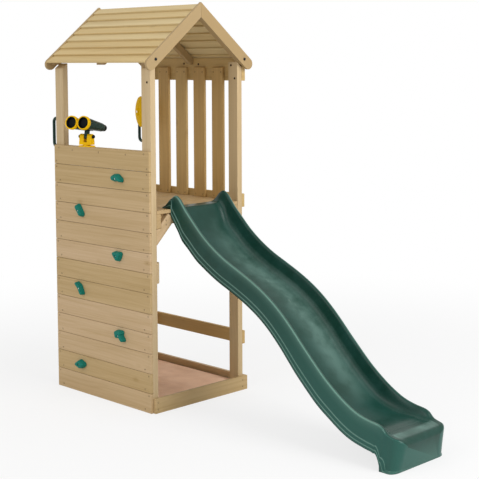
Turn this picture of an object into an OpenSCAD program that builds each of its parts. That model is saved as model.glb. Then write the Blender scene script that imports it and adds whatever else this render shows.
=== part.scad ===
// Timber play tower with a climbing wall, a lapped roof, a sandpit and a wavy slide.
// Row frame: millimetres, +Z up, -X climbing wall side, -Y slide side.
// The tower is drawn about its own centre and moved once, by place().

/* [Show] */
// which piece is drawn

/* [Tower frame] */
// across the posts, from the climbing wall to the slats
tower_w = 750; // [650:10:900]
// over the posts, from the slide to the ladder
tower_d = 920; // [800:10:1100]
// post section, along the gable and towards the slide
post_w = 40; // [36:2:50]
post_d = 80; // [75:5:100]
// top of the deck boards
deck_z = 1210; // [1150:10:1260]

/* [Climbing wall] */
// from one wall board to the next
board_pitch = 120; // [116:1:122]
board_t = 16; // [14:1:20]
// open joint between the boards
board_gap = 2; // [1:0.5:4]
board_count = 13; // [12:1:13]
// rail behind the top board
top_rail_h = 60; // [40:5:100]
// rail behind the boards at half the height
mid_rail_z = 776; // [740:2:800]
mid_rail_h = 124; // [90:2:130]

/* [Deck] */
deck_board_t = 22; // [18:1:28]
deck_board_count = 8; // [6:1:9]
deck_board_gap = 5; // [3:1:8]
// joists along the wall and the slats
joist_t = 34; // [28:1:45]
joist_h = 86; // [76:2:110]
// beams across, behind the braces
beam_t = 40; // [34:1:50]
beam_h = 70; // [60:2:76]
// knee braces: thickness, width and height from foot to top
brace_t = 34; // [28:1:45]
brace_w = 65; // [55:5:75]
brace_drop = 185; // [175:5:240]
// clearance of a board or brace cut round another timber
fit_gap = 1; // [0.5:0.5:2]

/* [Side rails and slats] */
side_beam_t = 30; // [22:1:40]
side_rail_t = 22; // [18:1:28]
side_rail_h = 84; // [70:2:100]
// how far the rail hangs under the top of the deck
rail_drop = 40; // [30:2:60]
low_rail_z = 293; // [260:1:340]
slat_w = 100; // [80:5:120]
slat_t = 20; // [16:1:24]
slat_count = 4; // [3:1:5]
// room over the slats, up to the roof boards
slat_room = 60; // [50:2:80]
// how far the slats stand up behind the top beam
slat_lap = 83; // [60:1:90]

/* [Sandpit] */
sill_h = 90; // [80:5:120]
sill_t = 20; // [16:1:28]
sand_top = 62; // [40:2:74]

/* [Roof] */
// top of the bargeboards at the ridge
ridge_z = 2435; // [2420:5:2500]
roof_angle = 39; // [38:0.5:41]
// how far the round centres of the bargeboard feet stand beyond the posts
gable_over = 23; // [15:1:30]
barge_w = 70; // [64:2:80]
barge_t = 18; // [16:1:24]
// how far the roof boards reach past the posts at both gables
roof_over = 16; // [14:1:30]
roof_board_t = 11; // [10:0.5:13]
roof_lap = 14; // [10:1:20]
// clearance between the lapped boards and at the ridge
lap_gap = 0.4; // [0.2:0.1:0.8]
// width that shows of the top and of the lowest board, along the slope
top_course = 38; // [32:1:44]
last_course = 86; // [78:1:92]
course_count = 8; // [7:1:9]
// how far the eaves reach down the slope past the bargeboard feet
eave_past = 21; // [10:1:30]
rafter_w = 45; // [40:1:52]
rafter_t = 32; // [28:1:40]
gusset_h = 84; // [60:2:100]
gusset_t = 16; // [12:1:20]
// how far up the slope the bolts stand from the round feet
bolt_up = 46; // [40:2:60]
cap_r = 9.5; // [8:0.5:12]
cap_h = 5; // [4:1:8]

/* [Slide] */
slide_w = 452; // [436:4:472]
slide_shell = 5; // [4:0.5:6]
// from the tower's front to the tip of the nose
slide_reach = 1700; // [1690:5:1720]
// how far the flange lies on the deck
flange_in = 78; // [60:2:88]

/* [Climbing holds] */
// how far the holds stand off the wall
hold_proud = 36; // [32:1:40]

/* [Ladder and grab handles] */
rung_pitch = 300; // [270:10:320]
rung_h = 34; // [28:1:45]
handle_z = 1637; // [1620:1:1650]
handle_h = 172; // [150:2:190]
// how far the bow stands off the post
handle_out = 58; // [50:1:66]
handle_bar = 20; // [16:1:24]
// outer radius of the bends
handle_bend = 36; // [30:1:40]

/* [Steering wheel] */
wheel_r = 103; // [95:1:108]
wheel_z = 1749; // [1740:1:1780]
// how far the wheel is turned from the post towards the ladder
wheel_turn = 23; // [10:1:26]
wheel_axle_r = 6; // [5:0.5:8]
// clearance of each bore on its pin
running_gap = 0.3; // [0.2:0.1:0.5]

/* [Binoculars] */
// along the wall, from its middle towards the ladder
bino_y = 160; // [60:10:200]
bino_turn = 18; // [10:1:26]
bino_tilt = 11; // [6:1:16]
// from the eyepieces to the rings
barrel_len = 240; // [220:2:260]
ring_r = 43; // [40:1:43]
// radius of the yoke's ears
ear_r = 17; // [15:1:19]
// between the two barrels
eye_gap = 88; // [88:1:94]

/* [Hidden] */
$fn = 32;
half_w = tower_w/2;
half_d = tower_d/2;
wall_top = board_pitch*board_count;
side_rail_z = deck_z - rail_drop;
gable_half = half_w + gable_over;
// the roof is centred between the wall boards and the outer face of the side rails
gable_x = (side_rail_t - board_t)/2;
barge_above = 22;
// height of the line where the two undersides of the roof meet
roof_apex = ridge_z - barge_above/cos(roof_angle);
foot_s = (gable_half + (barge_w/2 - barge_above)*sin(roof_angle))/cos(roof_angle);
// width that shows of each other roof board
course = (foot_s + eave_past - top_course - last_course)/(course_count - 2);
slat_top = roof_apex - (half_w - gable_x)*tan(roof_angle) - slat_room;
side_beam_z = slat_top - slat_lap;
// where the wheel's axle meets the inner face of the post
wheel_y = half_d - post_d/2 - 20;
bino_x = -half_w - board_t/2 + post_w/2;
// the tilt pins stand 63 over the wall, and the barrels 70 over the pins
bino_pivot_z = wall_top + 63;
axis_rise = 70;
ring_len = 25;
eye_len = 30;
south_reach = half_d + slide_reach;
// underside of the roof boards at the eaves
eave_z = roof_apex - (top_course + (course_count - 2)*course + last_course)*sin(roof_angle);
// how far the eave reaches sideways from the ridge
lap_angle = atan(roof_board_t/course);
eave_s = top_course + (course_count - 2)*course + last_course*cos(lap_angle)
    - (roof_board_t - lap_gap)*sin(lap_angle);
eave_n = last_course*sin(lap_angle) + (roof_board_t - lap_gap)*cos(lap_angle);
east_reach = gable_x + eave_s*cos(roof_angle) + eave_n*sin(roof_angle);
// how far the rings of the binoculars reach over the climbing wall
west_reach = -bino_x + (barrel_len/2*cos(bino_tilt) - axis_rise*sin(bino_tilt))*cos(bino_turn)
    + eye_gap/2*sin(bino_turn)
    + ring_r*sqrt(pow(sin(bino_tilt)*cos(bino_turn), 2) + pow(sin(bino_turn), 2));
north_reach = half_d + max(handle_out, roof_over + barge_t + cap_h);

// moves the whole part so that its bounding box stands on the origin
module place() {
    translate([(west_reach - east_reach)/2, (south_reach - north_reach)/2, 0])
        children();
}

module box(x0, x1, y0, y1, z0, z1) {
    translate([x0, y0, z0])
        cube([x1 - x0, y1 - y0, z1 - z0]);
}

// Roof helpers

// local +X runs down the slope from the ridge and +Z stands off the roof
module slope(side) {
    translate([gable_x, 0, roof_apex])
        mirror([side < 0 ? 1 : 0, 0, 0])
            rotate([0, roof_angle, 0])
                children();
}

// everything above a line at n below the underside of the roof boards
module above_roof(n) {
    for (side = [-1, 1])
        slope(side)
            translate([-600, -1000, n])
                cube([1800, 2000, 900]);
}

// Posts

module post(sx, sy) {
    difference() {
        box(sx < 0 ? -half_w : half_w - post_w, sx < 0 ? -half_w + post_w : half_w,
            sy < 0 ? -half_d : half_d - post_d, sy < 0 ? -half_d + post_d : half_d, 0, ridge_z);
        above_roof(-rafter_w);
    }
}

module post_front_left() {
    color("BurlyWood") place() post(-1, -1);
}

module post_front_right() {
    color("BurlyWood") place() post(1, -1);
}

module post_back_left() {
    color("BurlyWood") place() post(-1, 1);
}

module post_back_right() {
    color("BurlyWood") place() post(1, 1);
}

// Climbing wall

module climbing_wall_boards() {
    color("Tan") place()
        for (i = [0:board_count - 1])
            box(-half_w - board_t, -half_w, -half_d, half_d,
                i*board_pitch + (i == 0 ? 0 : board_gap), (i + 1)*board_pitch);
}

module wall_top_rail() {
    color("BurlyWood") place()
        box(-half_w, -half_w + post_w, -half_d + post_d, half_d - post_d,
            wall_top - top_rail_h, wall_top);
}

module wall_mid_rail() {
    color("BurlyWood") place()
        side_joist(-1, mid_rail_z, mid_rail_h);
}

// Deck

// a rail on the inner faces of the posts, with the upper inner corner cut at both ends
module side_joist(side, z, h) {
    cut = 30;
    mirror([side > 0 ? 1 : 0, 0, 0])
        difference() {
            box(-half_w + post_w, -half_w + post_w + joist_t, -half_d, half_d, z, z + h);
            for (sy = [-1, 1])
                translate([-half_w + post_w + joist_t, sy*half_d, z + h])
                    rotate([0, 0, 45])
                        cube([cut, cut, 2*h + 2], center = true);
        }
}

module deck_joists() {
    color("BurlyWood") place()
        for (side = [-1, 1])
            box(side < 0 ? -half_w + post_w : half_w - post_w - joist_t,
                side < 0 ? -half_w + post_w + joist_t : half_w - post_w,
                -half_d, half_d, deck_z - deck_board_t - joist_h, deck_z - deck_board_t);
}

module deck_beams() {
    span = half_w - post_w - joist_t;
    color("BurlyWood") place()
        for (side = [-1, 1])
            box(-span, span, side < 0 ? -half_d + brace_t : half_d - brace_t - beam_t,
                side < 0 ? -half_d + brace_t + beam_t : half_d - brace_t,
                deck_z - deck_board_t - beam_h, deck_z - deck_board_t);
}

module deck_boards() {
    w = (tower_d - (deck_board_count - 1)*deck_board_gap)/deck_board_count;
    color("Tan") place()
        difference() {
            for (i = [0:deck_board_count - 1])
                translate([-half_w, -half_d + i*(w + deck_board_gap), deck_z - deck_board_t])
                    cube([tower_w, w, deck_board_t]);
            for (sx = [-1, 1], sy = [-1, 1])
                translate([sx*(half_w - post_w/2), sy*(half_d - post_d/2), deck_z])
                    cube([post_w + 2*fit_gap, post_d + 2*fit_gap, 100], center = true);
        }
}

// one brace at 45 degrees from a post up to the beam, cut square at its top end
module knee_brace() {
    low = deck_z - deck_board_t - brace_drop;
    rise = brace_drop - brace_w*sqrt(2);
    rotate([90, 0, 0])
        linear_extrude(height = brace_t, center = true)
            polygon([[0, low], [rise + brace_w/sqrt(2), low + rise + brace_w/sqrt(2)],
                [rise, low + brace_drop], [0, low + brace_w*sqrt(2)]]);
}

module knee_braces(sy) {
    for (side = [-1, 1])
        mirror([side > 0 ? 1 : 0, 0, 0])
            difference() {
                translate([-half_w + post_w, sy*(half_d - brace_t/2), 0])
                    knee_brace();
                box(-half_w, -half_w + post_w + joist_t + fit_gap, -half_d - 1, half_d + 1,
                    deck_z - deck_board_t - joist_h - fit_gap, deck_z);
            }
}

module front_knee_braces() {
    color("BurlyWood") place() knee_braces(-1);
}

module back_knee_braces() {
    color("BurlyWood") place() knee_braces(1);
}

// Side of slats

module balustrade_top_beam() {
    color("Peru") place()
        difference() {
            box(half_w, half_w + side_beam_t, -half_d, half_d, side_beam_z, ridge_z);
            above_roof(0);
        }
}

module balustrade_bottom_rail() {
    color("Peru") place()
        box(half_w, half_w + side_rail_t, -half_d, half_d, side_rail_z, side_rail_z + side_rail_h);
}

module lower_side_rail() {
    color("Peru") place()
        box(half_w, half_w + side_rail_t, -half_d, half_d, low_rail_z, low_rail_z + side_rail_h);
}

module balustrade_slats() {
    room = tower_d - 2*post_d;
    gap = (room - slat_count*slat_w)/(slat_count + 1);
    color("Peru") place()
        for (i = [0:slat_count - 1])
            translate([half_w - slat_t, -room/2 + gap + i*(slat_w + gap), deck_z])
                cube([slat_t, slat_w, slat_top - deck_z]);
}

// Sandpit

module sandpit_front_board() {
    color("Tan") place()
        box(-half_w, half_w + side_rail_t, -half_d - sill_t, -half_d, 0, sill_h);
}

module sandpit_back_board() {
    color("Tan") place()
        box(-half_w, half_w + side_rail_t, half_d, half_d + sill_t, 0, sill_h);
}

module sandpit_side_board() {
    color("Tan") place()
        box(half_w, half_w + side_rail_t, -half_d, half_d, 0, sill_h);
}

module sand_fill() {
    color("SandyBrown") place()
        difference() {
            box(-half_w, half_w, -half_d, half_d, 0, sand_top);
            for (sx = [-1, 1], sy = [-1, 1])
                translate([sx*(half_w - post_w/2), sy*(half_d - post_d/2), sand_top/2])
                    cube([post_w, post_d, 2*sand_top], center = true);
        }
}

// Roof

// lapped boards: each one leans on the top edge of the next one down
module roof_side(side) {
    difference() {
        for (i = [0:course_count - 1])
            slope(side)
                translate([top_course + (i - 1)*course, -half_d - roof_over, 0])
                    rotate([0, -lap_angle, 0])
                        cube([i == course_count - 1 ? last_course : course + roof_lap, tower_d + 2*roof_over,
                            roof_board_t - lap_gap]);
        translate([gable_x - (side < 0 ? lap_gap/2 : half_w - lap_gap/2), -tower_d, eave_z])
            cube([half_w, 2*tower_d, ridge_z]);
    }
}

module roof_boards_left() {
    color("Wheat") place() roof_side(-1);
}

module roof_boards_right() {
    color("Wheat") place() roof_side(1);
}

module bargeboards(y) {
    for (side = [-1, 1])
        difference() {
            slope(side)
                translate([0, y, barge_above - barge_w/2])
                    rotate([-90, 0, 0])
                        linear_extrude(height = barge_t)
                            union() {
                                translate([-barge_w, -barge_w/2])
                                    square([foot_s + barge_w, barge_w]);
                                translate([foot_s, 0])
                                    circle(r = barge_w/2);
                            }
            translate([gable_x - (side < 0 ? lap_gap/2 : half_w - lap_gap/2), y - 1, eave_z])
                cube([half_w, barge_t + 2, ridge_z]);
        }
}

module front_bargeboards() {
    color("BurlyWood") place() bargeboards(-half_d - roof_over - barge_t);
}

module back_bargeboards() {
    color("BurlyWood") place() bargeboards(half_d + roof_over);
}

// pairs of rafters behind both gables and at half the length, cut level above the eaves
module roof_rafters() {
    color("BurlyWood") place()
        intersection() {
            box(-half_w - board_t, half_w, -half_d - roof_over, half_d + roof_over, eave_z, ridge_z);
            for (side = [-1, 1], y = [-half_d - roof_over, -rafter_t/2, half_d + roof_over - rafter_t])
                difference() {
                    slope(side)
                        translate([-2*rafter_w, y, -rafter_w])
                            cube([foot_s + 2*rafter_w, rafter_t, rafter_w]);
                    translate([gable_x - (side < 0 ? lap_gap/2 : half_w - lap_gap/2), y - 1, eave_z])
                        cube([half_w, rafter_t + 2, ridge_z]);
                }
        }
}

module gable_gussets() {
    half = gusset_h/tan(roof_angle);
    color("BurlyWood") place()
        for (y = [-half_d - roof_over + rafter_t, half_d + roof_over - rafter_t - gusset_t])
            translate([gable_x, y + gusset_t, roof_apex])
                rotate([90, 0, 0])
                    linear_extrude(height = gusset_t)
                        polygon([[0, -1], [-half, -gusset_h], [half, -gusset_h]]);
}

module bolt_caps() {
    color("DimGray") place()
        for (side = [-1, 1], sy = [-1, 1])
            slope(side)
                translate([foot_s - bolt_up, 0, barge_above - barge_w/2])
                    rotate([90*sy, 0, 0])
                        translate([0, 0, half_d + roof_over + barge_t])
                            cylinder(h = cap_h, r = cap_r);
}

// Climbing holds

// lumps: each is a list of lobes [y, z, r] from the hold's bolt, rounded into one form
module hold(y, z, lumps) {
    color("Teal") place()
        translate([-half_w - board_t, y, z])
            difference() {
                intersection() {
                    union()
                        for (lump = lumps)
                            hull()
                                for (l = lump) {
                                    translate([-hold_proud + l[2]*0.7, l[0], l[1]])
                                        sphere(r = l[2]*0.7, $fn = 20);
                                    translate([-2, l[0], l[1]])
                                        rotate([0, 90, 0])
                                            cylinder(h = 2, r = l[2], $fn = 20);
                                }
                    translate([-100, -100, -100])
                        cube([100, 200, 200]);
                }
                translate([-hold_proud - 1, 0, 0])
                    rotate([0, 90, 0])
                        cylinder(h = 12, r = 7, $fn = 20);
            }
}

module climbing_hold_1() {
    hold(-178, 1388, [[[26, 2, 24], [-6, 6, 22]], [[-6, 6, 22], [-38, -8, 15]]]);
}

module climbing_hold_2() {
    hold(190, 1163, [[[18, 20, 22], [0, 0, 20]], [[0, 0, 20], [-15, -20, 20]]]);
}

module climbing_hold_3() {
    hold(-176, 917, [[[24, 14, 15], [-22, 13, 15], [-4, -14, 18]]]);
}

module climbing_hold_4() {
    hold(196, 672, [[[30, 28, 11], [4, 8, 17]], [[4, 8, 17], [-20, -30, 11]]]);
}

module climbing_hold_5() {
    hold(-188, 432, [[[26, 16, 16], [-14, 18, 16], [20, -6, 14]], [[0, 6, 17], [-32, -24, 12]]]);
}

module climbing_hold_6() {
    hold(206, 184, [[[30, -2, 16], [4, 14, 17], [-28, 2, 17], [-2, -12, 17]]]);
}

// Slide

// [distance out from the tower front, height] along the top of the lip
lip_line = [[-90, 1219], [-78, 1220], [-50, 1238], [-20, 1272], [15, 1291], [45, 1278], [75, 1245],
    [110, 1205], [170, 1147], [240, 1082], [330, 1016], [430, 958], [540, 908], [640, 862],
    [730, 814], [810, 762], [885, 702], [950, 642], [1015, 576], [1090, 502], [1175, 422],
    [1250, 362], [1330, 308], [1410, 267], [1485, 246], [1550, 236], [1578, 224], [1605, 198],
    [1630, 187], [1670, 179], [1710, 171], [1750, 168]];
// depths under the lip, square to the run, of the bed and of the skirt's bottom edge
bed_line = [[60, 98], [150, 100], [1250, 98], [1420, 70], [1500, 52], [1550, 45], [1578, 34],
    [1605, 11], [1630, 1], [1750, 1]];
skirt_line = [[60, 126], [150, 128], [1250, 132], [1400, 140], [1500, 146], [1750, 146]];
// where the foot starts, and the radii of the nose in plan and along its top edge
foot_back = 1578;
nose_r = 60;
edge_r = 26;
// how far the bottom of the nose stands back from its top edge
nose_lean = 32;

// deck height and reach that the lines are drawn for
line_deck = lip_line[0][1] - 9;
line_reach = lip_line[len(lip_line) - 1][0] - 50;

// place on the drawn lines of a distance from the tower's front, and the other way round
function drawn(x) = x < 60 ? x : 60 + (x - 60)*(line_reach - 60)/(slide_reach - 60);
function built(x) = x < 60 ? x : 60 + (x - 60)*(slide_reach - 60)/(line_reach - 60);
function span_of(t, x, i = 0) = i >= len(t) - 2 || x < t[i + 1][0] ? i : span_of(t, x, i + 1);
function slope_at(t, i) = i <= 0 ? (t[1][1] - t[0][1])/(t[1][0] - t[0][0])
    : i >= len(t) - 1 ? (t[i][1] - t[i - 1][1])/(t[i][0] - t[i - 1][0])
    : (t[i + 1][1] - t[i - 1][1])/(t[i + 1][0] - t[i - 1][0]);
// smooth curve through the points of t
function curve(t, x) = let (i = span_of(t, x), h = t[i + 1][0] - t[i][0], u = (x - t[i][0])/h,
    a = slope_at(t, i)*h, b = slope_at(t, i + 1)*h)
    t[i][1]*(1 - 3*u*u + 2*u*u*u) + t[i + 1][1]*(3*u*u - 2*u*u*u)
    + a*(u - 2*u*u + u*u*u) + b*(u*u*u - u*u);
function straight(t, x) = let (i = span_of(t, x))
    t[i][1] + (t[i + 1][1] - t[i][1])*(x - t[i][0])/(t[i + 1][0] - t[i][0]);

function lip_at(x) = curve(lip_line, drawn(x))*deck_z/line_deck;
function run_slope(x) = (lip_at(x + 12) - lip_at(x - 12))/24;
function stretch(x) = sqrt(1 + run_slope(x)*run_slope(x));
// how far the nose has rounded in at x, for a round of radius r
function nose_in(x, r) = let (u = min(1, max(0, (x - slide_reach + r)/r)))
    r*(1 - sqrt(1 - u*u));
function lip_z(x) = lip_at(x) - nose_in(x, edge_r);
function bed_z(x) = x < -20 ? deck_z + slide_shell + 1
    : x < 60 ? deck_z + slide_shell + 1 - 85*pow((x + 20)/80, 1.6)
    : lip_z(x) - straight(bed_line, drawn(x))*stretch(x);
function skirt_z(x) = let (u = drawn(x)) u >= foot_back ? 0
    : u > 1545 ? 88 - 60*pow((u - 1545)/(foot_back - 1545), 2)
    : x < 1 ? deck_z
    : x < 60 ? deck_z - 45 - 1.4*x : lip_z(x) - straight(skirt_line, u)*stretch(x);
function half_at(x) = slide_w/2 - nose_in(x, nose_r);
// how far a point of the nose at x and z stands back
function lean(x, z) = nose_lean*pow(max(0, (drawn(x) - foot_back)/(line_reach - foot_back)), 2)
    *(1 - min(1, z/160));

// half of the skin from the bottom of the skirt to the middle of the bed, moved in by t
function skin(x, t) = let (w = half_at(x) - t, l = lip_z(x) - t, b = min(l - 3, bed_z(x) - t),
    s = skirt_z(x), h = l - s, e = min(1, h/70), k = min(1, (l - b)/60))
    [[w, s], [w, s + 21*e], [w - 4, s + 24*e], [w - 4, s + 46*e], [w - 8, s + 49*e],
     [w - 18, l - 12*e], [w - 21.5, l - 3.5*e], [w - 29, l], [w - 37, l - 2*k],
     [w - 43 - t, l - 10*k], [w - 57 - t, b + (l - b)*0.36], [w - 66 - t, b + (l - b)*0.13],
     [w - 80 - t, b + (l - b)*0.03], [w - 100 - t, b], [0, b - 0.5]];

// the whole skin at x, from the left skirt over the bed to the right skirt
function strip(x, t) = let (h = skin(x, t), n = len(h))
    [for (i = [0:2*n - 2]) let (p = h[min(i, 2*n - 2 - i)])
        [i < n ? -p[0] : p[0], -half_d - x + lean(x, p[1]), p[1]]];

// distances at which the skin is drawn, from the flange on the deck to the front of the nose
function stations(t) = concat([-flange_in + t, -50, -20, 0, 2, 20, 45, 80],
    [for (u = [120:50:1520]) built(u)],
    [for (u = [1545, 1566, foot_back - 1, foot_back, 1592, 1605]) built(u)],
    [for (a = [0:22.5:90]) slide_reach - t - nose_r*(1 - sin(a))]);

module slide() {
    outer = [for (x = stations(0)) strip(x, 0)];
    inner = [for (x = stations(slide_shell)) strip(x, slide_shell)];
    m = len(outer);
    n = len(outer[0]);
    h = (n - 1)/2;
    pts = concat([for (r = outer) for (p = r) p], [for (r = inner) for (p = r) p]);
    o = m*n;
    skins = [for (k = [0:m - 2], i = [0:n - 2]) let (a = k*n + i)
        for (f = [[a, a + 1, a + n + 1], [a, a + n + 1, a + n],
            [o + a, o + a + n + 1, o + a + 1], [o + a, o + a + n, o + a + n + 1]]) f];
    hems = [for (k = [0:m - 2], i = [0, n - 1]) let (a = k*n + i)
        for (f = i == 0 ? [[a, a + n, o + a + n], [a, o + a + n, o + a]]
            : [[a, o + a + n, a + n], [a, o + a, o + a + n]]) f];
    back = [for (i = [0:n - 2]) for (f = [[i, o + i + 1, i + 1], [i, o + i, o + i + 1]]) f];
    e = (m - 1)*n;
    front = [for (i = [0:h - 1]) let (a = e + i, b = e + i + 1, c = e + n - 2 - i, d = e + n - 1 - i)
        for (f = concat([[a, b, d], [o + a, o + d, o + b]],
            i == h - 1 ? [] : [[b, c, d], [o + b, o + d, o + c]])) f];
    toe = [[e, e + n - 1, o + e + n - 1], [e, o + e + n - 1, o + e]];
    color("DarkGreen") place()
        polyhedron(points = pts, faces = concat(skins, hems, back, front, toe), convexity = 8);
}

// Ladder

module ladder_rungs() {
    color("BurlyWood") place()
        for (i = [1:3])
            box(-half_w + post_w, half_w - post_w, half_d - post_d + 5, half_d - 5,
                i*rung_pitch, i*rung_pitch + rung_h);
}

// Grab handles

// a flat bar bent to a bow, with a foot at each end
module grab_handle(side) {
    inner_r = handle_bend - handle_bar;
    color("DarkGreen") place()
        translate([side*(half_w - post_w/2), half_d, handle_z])
            rotate([0, 90, 0])
                linear_extrude(height = handle_bar, center = true)
                    difference() {
                        union() {
                            translate([-handle_h/2 - 14, 0])
                                square([handle_h + 28, 8]);
                            translate([-handle_h/2, 0])
                                square([handle_h, handle_out - handle_bend]);
                            translate([-handle_h/2 + handle_bend, 0])
                                square([handle_h - 2*handle_bend, handle_out]);
                            for (sx = [-1, 1])
                                translate([sx*(handle_h/2 - handle_bend), handle_out - handle_bend])
                                    circle(r = handle_bend);
                        }
                        translate([-handle_h/2 + handle_bar, -1])
                            square([handle_h - 2*handle_bar, handle_out - handle_bend + 1]);
                        translate([-handle_h/2 + handle_bend, -1])
                            square([handle_h - 2*handle_bend, handle_out - handle_bar + 1]);
                        for (sx = [-1, 1])
                            translate([sx*(handle_h/2 - handle_bend), handle_out - handle_bend])
                                circle(r = inner_r);
                        translate([-handle_h, -2*handle_bend])
                            square([2*handle_h, 2*handle_bend]);
                    }
}

module grab_handle_left() {
    grab_handle(-1);
}

module grab_handle_right() {
    grab_handle(1);
}

// Steering wheel

// local +Z points from the post into the tower
module wheel_axis() {
    translate([half_w - post_w, wheel_y, wheel_z])
        rotate([0, -90, -wheel_turn])
            children();
}

// a plate on the post, with a spacer and the axle turned to the wheel
module wheel_bracket() {
    color("DarkGreen") place() {
        box(half_w - post_w - 12, half_w - post_w, wheel_y - 14, half_d - 4, wheel_z - 36, wheel_z + 36);
        wheel_axis() {
            translate([0, 0, 10])
                cylinder(h = 24, r = 18);
            translate([0, 0, 10])
                cylinder(h = 54, r = wheel_axle_r);
        }
    }
}

// a domed disc with a rolled rim, hollow behind, turning on the axle
module steering_wheel() {
    bore = wheel_axle_r + running_gap;
    color("Gold") place()
        wheel_axis()
            rotate_extrude($fn = 64)
                polygon([[bore, 35], [20, 35], [22, 56], [50, 54], [76, 49], [wheel_r - 14, 43],
                    [wheel_r - 8, 39], [wheel_r - 3, 40], [wheel_r, 45], [wheel_r - 3, 51],
                    [wheel_r - 14, 56], [78, 61], [52, 66], [28, 69], [18, 74], [0, 75], [0, 66],
                    [bore, 66]]);
}

// Binoculars

// local +X points forwards, +Y across and +Z up, from the swivel axis at the pivot height
module swivel() {
    translate([bino_x, bino_y, bino_pivot_z])
        rotate([0, 0, 180 + bino_turn])
            children();
}

module tilt() {
    swivel()
        rotate([0, -bino_tilt, 0])
            children();
}

module binocular_base() {
    color("DarkGreen") place()
        translate([bino_x, bino_y, wall_top]) {
            translate([-27, -50, 0])
                cube([54, 100, 8]);
            cylinder(h = 12, r = 22);
            cylinder(h = 26, r = 6);
        }
}

// two ears on a foot that turns on the base; the ears are wider at the foot
module binocular_yoke() {
    color("Gold") place()
        swivel()
            difference() {
                union() {
                    translate([-22, -43, -50.5])
                        cube([44, 86, 16]);
                    for (s = [-1, 1])
                        translate([0, s*28, 0])
                            rotate([90, 0, 0])
                                linear_extrude(height = 30, center = true)
                                    union() {
                                        polygon([[-22, -40], [22, -40], [ear_r, 0], [-ear_r, 0]]);
                                        circle(r = ear_r);
                                    }
                }
                translate([0, 0, -60])
                    cylinder(h = 26, r = 6 + running_gap);
                rotate([90, 0, 0])
                    cylinder(h = 200, r = 6 + running_gap, center = true);
            }
}

module binocular_frame() {
    color("DarkGreen") place()
        tilt() {
            difference() {
                union() {
                    rotate([90, 0, 0])
                        cylinder(h = 22, r = 16, center = true);
                    translate([-16, -11, 0])
                        cube([32, 22, axis_rise]);
                }
                translate([0, 0, axis_rise + 40])
                    cube([60, 60, 100], center = true);
            }
            rotate([90, 0, 0])
                cylinder(h = 106, r = 6, center = true);
            for (s = [-1, 1])
                translate([0, s*50, 0])
                    rotate([90, 0, 0])
                        cylinder(h = 12, r = 11, center = true);
        }
}

module binocular_barrels() {
    color("DarkGreen") place()
        tilt()
            difference() {
                union() {
                    for (s = [-1, 1])
                        translate([eye_len - barrel_len/2, s*eye_gap/2, axis_rise])
                            rotate([0, 90, 0])
                                cylinder(h = barrel_len - eye_len - ring_len, r1 = 26, r2 = ring_r - 5);
                    translate([-60, -30, axis_rise - 12])
                        cube([110, 60, 30]);
                }
                translate([-16, -13, axis_rise - 40])
                    cube([32, 26, 30]);
            }
}

module binocular_rings() {
    color("Gold") place()
        tilt()
            for (s = [-1, 1])
                translate([barrel_len/2 - ring_len, s*eye_gap/2, axis_rise])
                    rotate([0, 90, 0])
                        difference() {
                            cylinder(h = ring_len, r = ring_r);
                            translate([0, 0, 6])
                                cylinder(h = 30, r = ring_r - 8);
                        }
}

module binocular_eyepieces() {
    color("DimGray") place()
        tilt()
            for (s = [-1, 1])
                translate([-barrel_len/2, s*eye_gap/2, axis_rise])
                    rotate([0, 90, 0])
                        cylinder(h = eye_len, r = 21);
}

post_front_left();
post_front_right();
post_back_left();
post_back_right();
climbing_wall_boards();
wall_top_rail();
wall_mid_rail();
deck_joists();
deck_beams();
deck_boards();
front_knee_braces();
back_knee_braces();
balustrade_top_beam();
balustrade_bottom_rail();
balustrade_slats();
lower_side_rail();
sandpit_front_board();
sandpit_back_board();
sandpit_side_board();
sand_fill();
roof_boards_left();
roof_boards_right();
front_bargeboards();
back_bargeboards();
roof_rafters();
gable_gussets();
bolt_caps();
climbing_hold_1();
climbing_hold_2();
climbing_hold_3();
climbing_hold_4();
climbing_hold_5();
climbing_hold_6();
slide();
ladder_rungs();
grab_handle_left();
grab_handle_right();
wheel_bracket();
steering_wheel();
binocular_base();
binocular_yoke();
binocular_frame();
binocular_barrels();
binocular_rings();
binocular_eyepieces();
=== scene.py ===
"""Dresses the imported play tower: eased timber with grain, a moulded slide, holds and play fittings."""
import math
import random

import bmesh
import bpy
from mathutils import Matrix, Vector, noise


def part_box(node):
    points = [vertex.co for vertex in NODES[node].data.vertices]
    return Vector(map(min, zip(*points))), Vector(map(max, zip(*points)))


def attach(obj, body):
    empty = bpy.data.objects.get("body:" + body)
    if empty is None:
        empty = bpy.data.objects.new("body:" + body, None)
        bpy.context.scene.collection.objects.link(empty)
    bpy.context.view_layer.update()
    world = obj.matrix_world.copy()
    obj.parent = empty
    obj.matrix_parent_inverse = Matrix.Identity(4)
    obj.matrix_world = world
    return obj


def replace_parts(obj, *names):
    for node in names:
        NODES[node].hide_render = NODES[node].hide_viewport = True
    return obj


bl_info = {
    "name": "Play tower",
    "version": (1, 0, 0),
    "blender": (4, 5, 0),
    "location": "View3D > Sidebar > Play tower",
    "description": "Builds the visible pieces of a timber play tower around its CAD frame",
    "category": "Object",
}

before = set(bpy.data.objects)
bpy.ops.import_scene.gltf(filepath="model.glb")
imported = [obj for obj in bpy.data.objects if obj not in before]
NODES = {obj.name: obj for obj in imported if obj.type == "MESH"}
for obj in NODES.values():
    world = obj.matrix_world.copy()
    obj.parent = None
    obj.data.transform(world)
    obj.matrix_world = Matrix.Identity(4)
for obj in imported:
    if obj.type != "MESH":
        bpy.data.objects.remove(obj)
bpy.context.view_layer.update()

SENSOR = 36.0
MM = 0.001

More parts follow.
